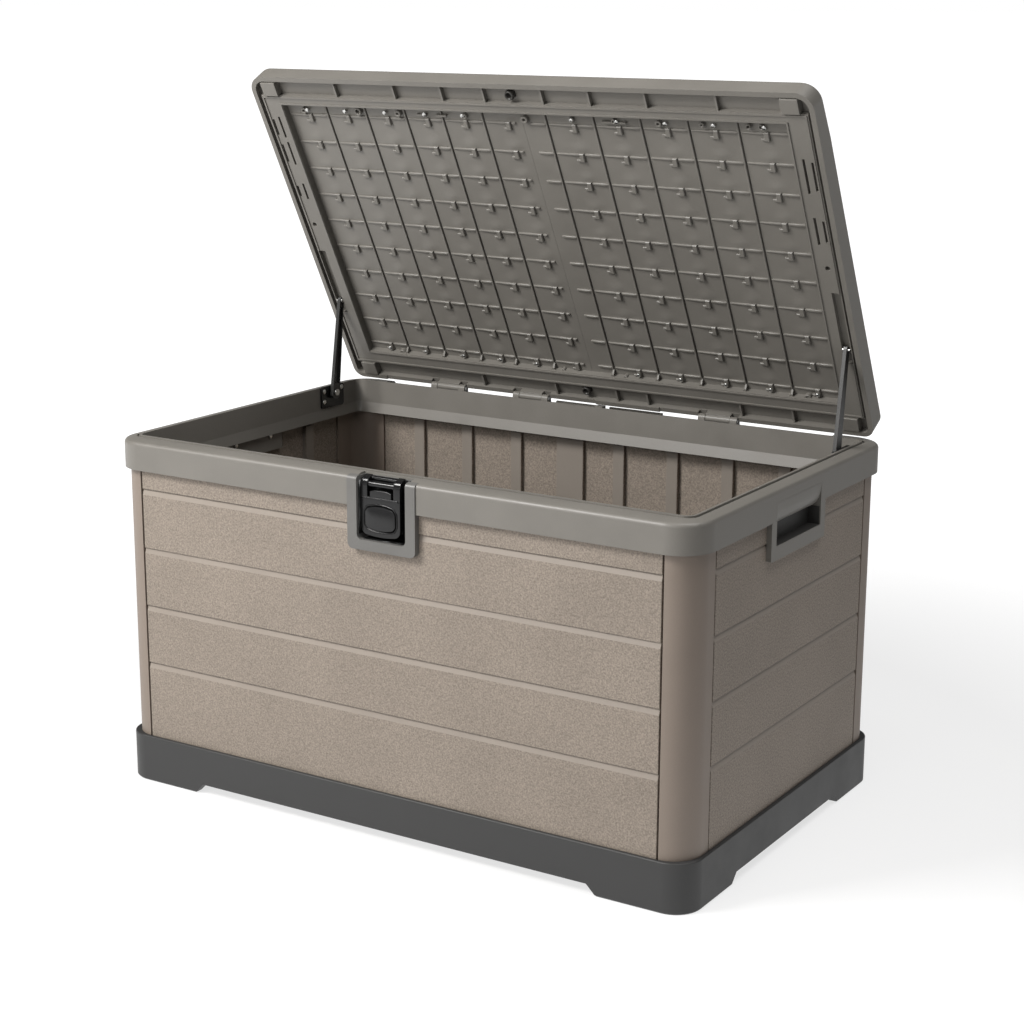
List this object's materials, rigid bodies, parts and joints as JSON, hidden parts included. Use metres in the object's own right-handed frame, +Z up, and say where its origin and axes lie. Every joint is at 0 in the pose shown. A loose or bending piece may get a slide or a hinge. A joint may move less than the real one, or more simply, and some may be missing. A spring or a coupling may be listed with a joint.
{
  "type": "deck storage box",
  "caption": "Outdoor plastic storage box with plank-look walls, corner posts, dark base tray, hinged ribbed lid on folding stays, side finger pulls and a push-button front latch.",
  "frame": {"origin": "middle of the footprint, on the floor", "axes": "+Z up, +X to the right seen from the front, the latch side faces -Y; stored with the lid open"},
  "size_m": [1.006, 0.6495, 1.0914],
  "materials": {
    "wall_plastic": "fine-grained matt, taupe",
    "lid_plastic": "smooth matt, warm grey",
    "base_plastic": "matt, dark grey",
    "black_plastic": "satin, near black",
    "stay_steel": "satin, near black",
    "bright_steel": "plain zinc, lightly polished"
  },
  "bodies": {
    "box": {"base_tray": "base_plastic", "front_panel": "wall_plastic", "rear_panel": "wall_plastic", "left_panel": "wall_plastic", "right_panel": "wall_plastic", "post_front_left": "wall_plastic", "post_front_right": "wall_plastic", "post_rear_left": "wall_plastic", "post_rear_right": "wall_plastic", "top_rim": "lid_plastic", "latch_bezel": "lid_plastic", "handle_cup_right": "lid_plastic", "handle_cup_left": "lid_plastic", "latch_frame": "black_plastic", "stay_bracket_left": "black_plastic", "stay_bracket_right": "black_plastic", "stay_rivet_left": "bright_steel", "stay_rivet_right": "bright_steel", "latch_pin": "bright_steel", "latch_spring": "bright_steel", "hinge_pins": "bright_steel", "bracket_screws": "bright_steel", "handle_screws": "bright_steel"},
    "lid": {"lid_shell": "lid_plastic", "lid_frame": "lid_plastic", "lid_liner_left": "lid_plastic", "lid_liner_right": "lid_plastic", "lid_front_boss": "lid_plastic", "lid_rear_boss": "lid_plastic", "lid_pads": "lid_plastic", "lid_screws": "bright_steel", "lid_hinge_left": "lid_plastic", "lid_hinge_middle": "lid_plastic", "lid_hinge_right": "lid_plastic"},
    "stay_left": {"stay_arm_left": "stay_steel", "stay_pin_left": "bright_steel"},
    "stay_right": {"stay_arm_right": "stay_steel", "stay_pin_right": "bright_steel"},
    "button": {"latch_button": "black_plastic"}
  },
  "joints": [
    {"name": "lid_hinge", "type": "hinge", "parent": "box", "child": "lid", "pos_m": [0, 0.296, 0.5525], "axis": [1, 0, 0], "range_deg": [0, 61.8]},
    {"name": "stay_left_pivot", "type": "hinge", "parent": "box", "child": "stay_left", "pos_m": [-0.467, 0.203, 0.54], "axis": [1, 0, 0], "range_deg": [0, 91.5]},
    {"name": "stay_right_pivot", "type": "hinge", "parent": "box", "child": "stay_right", "pos_m": [0.467, 0.203, 0.54], "axis": [1, 0, 0], "range_deg": [0, 91.5]},
    {"name": "latch_press", "type": "hinge", "parent": "box", "child": "button", "pos_m": [-0.001, -0.304, 0.503], "axis": [1, 0, 0], "range_deg": [0, 6], "stiffness_Nm_per_rad": 1.2, "springref_deg": -1.72, "deforming": ["latch_spring"]}
  ],
  "couplings": [
    {"joint": "stay_left_pivot", "follows": "lid_hinge", "ratio": 1.479},
    {"joint": "stay_right_pivot", "follows": "lid_hinge", "ratio": 1.479}
  ]
}
